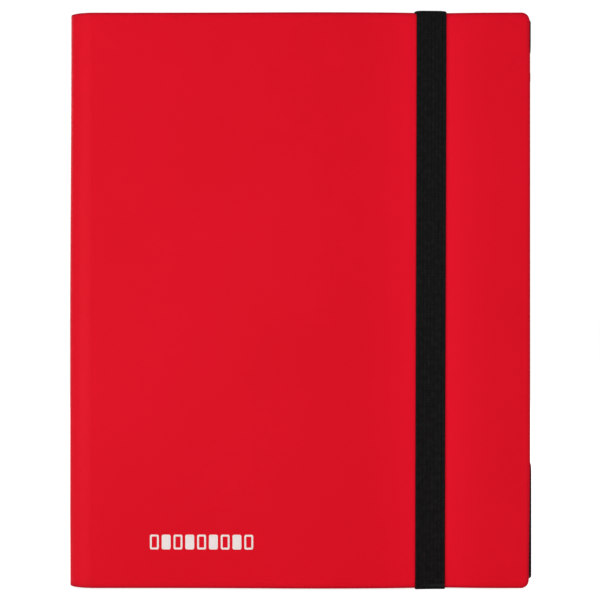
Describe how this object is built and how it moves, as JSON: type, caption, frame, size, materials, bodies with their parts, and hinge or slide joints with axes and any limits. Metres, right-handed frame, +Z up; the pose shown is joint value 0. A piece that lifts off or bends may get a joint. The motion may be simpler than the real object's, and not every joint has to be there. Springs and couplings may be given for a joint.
{
  "type": "trading card binder",
  "caption": "Slim plastic binder with a round spine, side-loading card pocket pages and a vertical elastic strap that holds it shut.",
  "frame": {"origin": "the middle of the closed binder's footprint, at the level that it stands on", "axes": "+Z up along the binder's height, the front cover faces -Y, the spine is at -X and the fore edge at +X"},
  "size_m": [0.251, 0.029, 0.3138],
  "materials": {
    "cover_red": "satin polypropylene sheet with a very fine grain",
    "page_black": "thin black polypropylene sheet, satin",
    "pocket_film": "clear pocket film, glossy",
    "strap_black": "black woven elastic, fine lengthwise ribs",
    "strip_black": "moulded black polypropylene"
  },
  "bodies": {
    "back_cover": {"back_cover": "cover_red", "strap_end_top": "strap_black", "strap_end_bottom": "strap_black", "strap_anchor_top": "strip_black", "strap_anchor_bottom": "strip_black", "strap_leg_top": "strap_black", "strap_leg_bottom": "strap_black"},
    "spine": {"spine": "cover_red", "front_hinge_web": "cover_red", "back_hinge_web": "cover_red", "binding_strip": "strip_black", "page_feet": "page_black"},
    "front_cover": {"front_cover": "cover_red"},
    "strap": {"strap_front_run": "strap_black"},
    "page_01": {"page_01": "page_black", "page_01_pockets": "pocket_film"},
    "page_02": {"page_02": "page_black", "page_02_pockets": "pocket_film"},
    "page_03": {"page_03": "page_black", "page_03_pockets": "pocket_film"},
    "page_04": {"page_04": "page_black", "page_04_pockets": "pocket_film"},
    "page_05": {"page_05": "page_black", "page_05_pockets": "pocket_film"},
    "page_06": {"page_06": "page_black", "page_06_pockets": "pocket_film"},
    "page_07": {"page_07": "page_black", "page_07_pockets": "pocket_film"},
    "page_08": {"page_08": "page_black", "page_08_pockets": "pocket_film"},
    "page_09": {"page_09": "page_black", "page_09_pockets": "pocket_film"},
    "page_10": {"page_10": "page_black", "page_10_pockets": "pocket_film"},
    "page_11": {"page_11": "page_black", "page_11_pockets": "pocket_film"},
    "page_12": {"page_12": "page_black", "page_12_pockets": "pocket_film"},
    "page_13": {"page_13": "page_black", "page_13_pockets": "pocket_film"},
    "page_14": {"page_14": "page_black", "page_14_pockets": "pocket_film"},
    "page_15": {"page_15": "page_black", "page_15_pockets": "pocket_film"},
    "page_16": {"page_16": "page_black", "page_16_pockets": "pocket_film"},
    "page_17": {"page_17": "page_black", "page_17_pockets": "pocket_film"},
    "page_18": {"page_18": "page_black", "page_18_pockets": "pocket_film"},
    "page_19": {"page_19": "page_black", "page_19_pockets": "pocket_film"},
    "page_20": {"page_20": "page_black", "page_20_pockets": "pocket_film"}
  },
  "joints": [
    {"name": "back_hinge", "type": "hinge", "parent": "back_cover", "child": "spine", "pos_m": [-0.1119, 0.013, 0.1569], "axis": [0, 0, -1], "range_deg": [0, 90], "deforming": ["back_hinge_web"]},
    {"name": "front_hinge", "type": "hinge", "parent": "spine", "child": "front_cover", "pos_m": [-0.1119, -0.013, 0.1569], "axis": [0, 0, -1], "range_deg": [0, 90], "deforming": ["front_hinge_web"]},
    {"name": "strap_release", "type": "slide", "parent": "back_cover", "child": "strap", "axis": [0, 1, 0], "range_m": [0, 0.0291], "deforming": ["strap_front_run", "strap_leg_top", "strap_leg_bottom"]},
    {"name": "page_01_turn", "type": "hinge", "parent": "spine", "child": "page_01", "pos_m": [-0.1109, -0.0104, 0.1569], "axis": [0, 0, -1], "range_deg": [0, 83]},
    {"name": "page_02_turn", "type": "hinge", "parent": "spine", "child": "page_02", "pos_m": [-0.1109, -0.00935, 0.1569], "axis": [0, 0, -1], "range_deg": [0, 75.6]},
    {"name": "page_03_turn", "type": "hinge", "parent": "spine", "child": "page_03", "pos_m": [-0.1109, -0.0083, 0.1569], "axis": [0, 0, -1], "range_deg": [0, 69.6]},
    {"name": "page_04_turn", "type": "hinge", "parent": "spine", "child": "page_04", "pos_m": [-0.1109, -0.00725, 0.1569], "axis": [0, 0, -1], "range_deg": [0, 64.1]},
    {"name": "page_05_turn", "type": "hinge", "parent": "spine", "child": "page_05", "pos_m": [-0.1109, -0.0062, 0.1569], "axis": [0, 0, -1], "range_deg": [0, 58.9]},
    {"name": "page_06_turn", "type": "hinge", "parent": "spine", "child": "page_06", "pos_m": [-0.1109, -0.00515, 0.1569], "axis": [0, 0, -1], "range_deg": [0, 53.9]},
    {"name": "page_07_turn", "type": "hinge", "parent": "spine", "child": "page_07", "pos_m": [-0.1109, -0.0041, 0.1569], "axis": [0, 0, -1], "range_deg": [0, 49]},
    {"name": "page_08_turn", "type": "hinge", "parent": "spine", "child": "page_08", "pos_m": [-0.1109, -0.00305, 0.1569], "axis": [0, 0, -1], "range_deg": [0, 44.2]},
    {"name": "page_09_turn", "type": "hinge", "parent": "spine", "child": "page_09", "pos_m": [-0.1109, -0.002, 0.1569], "axis": [0, 0, -1], "range_deg": [0, 39.6]},
    {"name": "page_10_turn", "type": "hinge", "parent": "spine", "child": "page_10", "pos_m": [-0.1109, -0.00095, 0.1569], "axis": [0, 0, -1], "range_deg": [0, 35]},
    {"name": "page_11_turn", "type": "hinge", "parent": "spine", "child": "page_11", "pos_m": [-0.1109, 0.0001, 0.1569], "axis": [0, 0, -1], "range_deg": [-35, 0]},
    {"name": "page_12_turn", "type": "hinge", "parent": "spine", "child": "page_12", "pos_m": [-0.1109, 0.00115, 0.1569], "axis": [0, 0, -1], "range_deg": [-39.6, 0]},
    {"name": "page_13_turn", "type": "hinge", "parent": "spine", "child": "page_13", "pos_m": [-0.1109, 0.0022, 0.1569], "axis": [0, 0, -1], "range_deg": [-44.2, 0]},
    {"name": "page_14_turn", "type": "hinge", "parent": "spine", "child": "page_14", "pos_m": [-0.1109, 0.00325, 0.1569], "axis": [0, 0, -1], "range_deg": [-49, 0]},
    {"name": "page_15_turn", "type": "hinge", "parent": "spine", "child": "page_15", "pos_m": [-0.1109, 0.0043, 0.1569], "axis": [0, 0, -1], "range_deg": [-53.9, 0]},
    {"name": "page_16_turn", "type": "hinge", "parent": "spine", "child": "page_16", "pos_m": [-0.1109, 0.00535, 0.1569], "axis": [0, 0, -1], "range_deg": [-58.9, 0]},
    {"name": "page_17_turn", "type": "hinge", "parent": "spine", "child": "page_17", "pos_m": [-0.1109, 0.0064, 0.1569], "axis": [0, 0, -1], "range_deg": [-64.1, 0]},
    {"name": "page_18_turn", "type": "hinge", "parent": "spine", "child": "page_18", "pos_m": [-0.1109, 0.00745, 0.1569], "axis": [0, 0, -1], "range_deg": [-69.6, 0]},
    {"name": "page_19_turn", "type": "hinge", "parent": "spine", "child": "page_19", "pos_m": [-0.1109, 0.0085, 0.1569], "axis": [0, 0, -1], "range_deg": [-75.6, 0]},
    {"name": "page_20_turn", "type": "hinge", "parent": "spine", "child": "page_20", "pos_m": [-0.1109, 0.00955, 0.1569], "axis": [0, 0, -1], "range_deg": [-83, 0]}
  ],
  "couplings": [
    {"joint": "front_hinge", "follows": "back_hinge", "ratio": 1},
    {"joint": "strap_release", "follows": "back_hinge", "m_per_rad": 0.018525},
    {"joint": "page_01_turn", "follows": "back_hinge", "ratio": 0.92222},
    {"joint": "page_02_turn", "follows": "back_hinge", "ratio": 0.84},
    {"joint": "page_03_turn", "follows": "back_hinge", "ratio": 0.77333},
    {"joint": "page_04_turn", "follows": "back_hinge", "ratio": 0.71222},
    {"joint": "page_05_turn", "follows": "back_hinge", "ratio": 0.65444},
    {"joint": "page_06_turn", "follows": "back_hinge", "ratio": 0.59889},
    {"joint": "page_07_turn", "follows": "back_hinge", "ratio": 0.54444},
    {"joint": "page_08_turn", "follows": "back_hinge", "ratio": 0.49111},
    {"joint": "page_09_turn", "follows": "back_hinge", "ratio": 0.44},
    {"joint": "page_10_turn", "follows": "back_hinge", "ratio": 0.38889},
    {"joint": "page_11_turn", "follows": "back_hinge", "ratio": -0.38889},
    {"joint": "page_12_turn", "follows": "back_hinge", "ratio": -0.44},
    {"joint": "page_13_turn", "follows": "back_hinge", "ratio": -0.49111},
    {"joint": "page_14_turn", "follows": "back_hinge", "ratio": -0.54444},
    {"joint": "page_15_turn", "follows": "back_hinge", "ratio": -0.59889},
    {"joint": "page_16_turn", "follows": "back_hinge", "ratio": -0.65444},
    {"joint": "page_17_turn", "follows": "back_hinge", "ratio": -0.71222},
    {"joint": "page_18_turn", "follows": "back_hinge", "ratio": -0.77333},
    {"joint": "page_19_turn", "follows": "back_hinge", "ratio": -0.84},
    {"joint": "page_20_turn", "follows": "back_hinge", "ratio": -0.92222}
  ]
}
